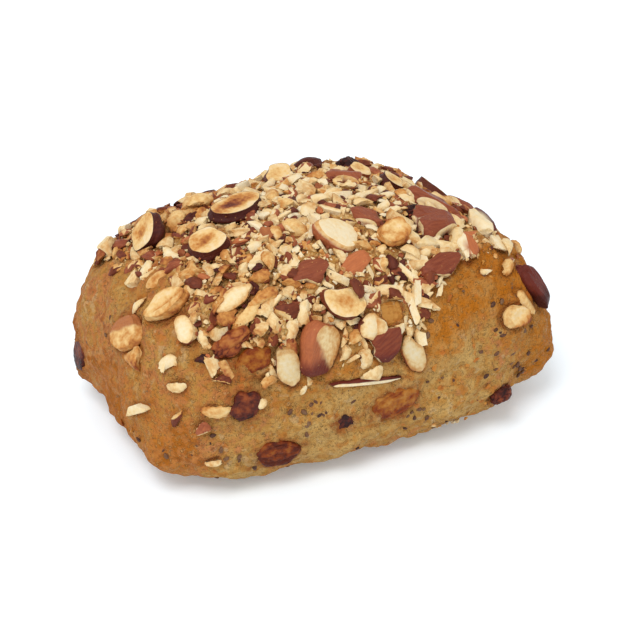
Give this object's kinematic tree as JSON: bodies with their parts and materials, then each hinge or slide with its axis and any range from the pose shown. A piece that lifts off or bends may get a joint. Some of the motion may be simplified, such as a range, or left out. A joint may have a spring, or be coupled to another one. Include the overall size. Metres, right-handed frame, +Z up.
{
  "type": "fruit bread roll",
  "caption": "Squarish baked fruit bread roll with a flat base, chopped hazelnuts and almonds on top, and raisins and sultanas in its crust.",
  "frame": {"origin": "centre of the flat base, under the middle of the bare roll", "axes": "+X along the roll's long side towards its wider end, +Z up; the side seen first in the picture faces -Y"},
  "size_m": [0.1227, 0.101, 0.0635],
  "materials": {
    "crust": "matt baked crust, browner at one end",
    "hazelnut": "toasted cut nut, cream with brown edges",
    "hazelnut_skin": "dark papery nut skin",
    "almond": "pale cut almond, smooth and matt",
    "almond_skin": "red-brown almond skin, finely grooved",
    "raisin": "dark wrinkled fruit with a soft gloss",
    "sultana": "amber wrinkled fruit, glossy"
  },
  "bodies": {
    "root": {"hazelnut_half_1": "hazelnut", "hazelnut_half_2": "hazelnut", "hazelnut_half_3": "hazelnut", "hazelnut_half_4": "hazelnut", "hazelnut_half_5": "hazelnut", "hazelnut_half_6": "hazelnut", "hazelnut_half_7": "hazelnut", "hazelnut_half_8": "hazelnut", "hazelnut_half_9": "hazelnut", "hazelnut_half_10": "hazelnut", "hazelnut_half_11": "hazelnut", "hazelnut_half_12": "hazelnut", "hazelnut_half_13": "hazelnut", "hazelnut_half_14": "hazelnut", "hazelnut_cap_1": "hazelnut_skin", "hazelnut_cap_2": "hazelnut_skin", "hazelnut_cap_3": "hazelnut_skin", "almond_cut_1": "almond", "almond_cut_2": "almond", "almond_cut_3": "almond", "almond_chunk_1": "almond_skin", "almond_chunk_2": "almond_skin", "almond_chunk_3": "almond_skin", "almond_chunk_4": "almond_skin", "almond_chunk_5": "almond_skin", "almond_chunk_6": "almond_skin", "almond_chunk_7": "almond_skin", "almond_chunk_8": "almond_skin", "almond_chunk_9": "almond_skin", "almond_chunk_10": "almond_skin", "almond_chunk_11": "almond_skin", "almond_chunk_12": "almond_skin", "almond_chunk_13": "almond_skin", "almond_slice_1": "almond", "almond_slice_2": "almond", "almond_slice_3": "almond", "almond_slice_4": "almond", "almond_slice_5": "almond", "almond_slice_6": "almond", "almond_slice_7": "almond", "almond_slice_8": "almond", "raisin_1": "raisin", "raisin_2": "raisin", "raisin_3": "raisin", "raisin_4": "raisin", "raisin_5": "raisin", "raisin_6": "raisin", "raisin_7": "raisin", "raisin_8": "raisin", "sultana_1": "sultana", "sultana_2": "sultana", "sultana_3": "sultana", "sultana_4": "sultana", "sultana_5": "sultana", "sultana_6": "sultana", "roll": "crust"}
  },
  "joints": []
}
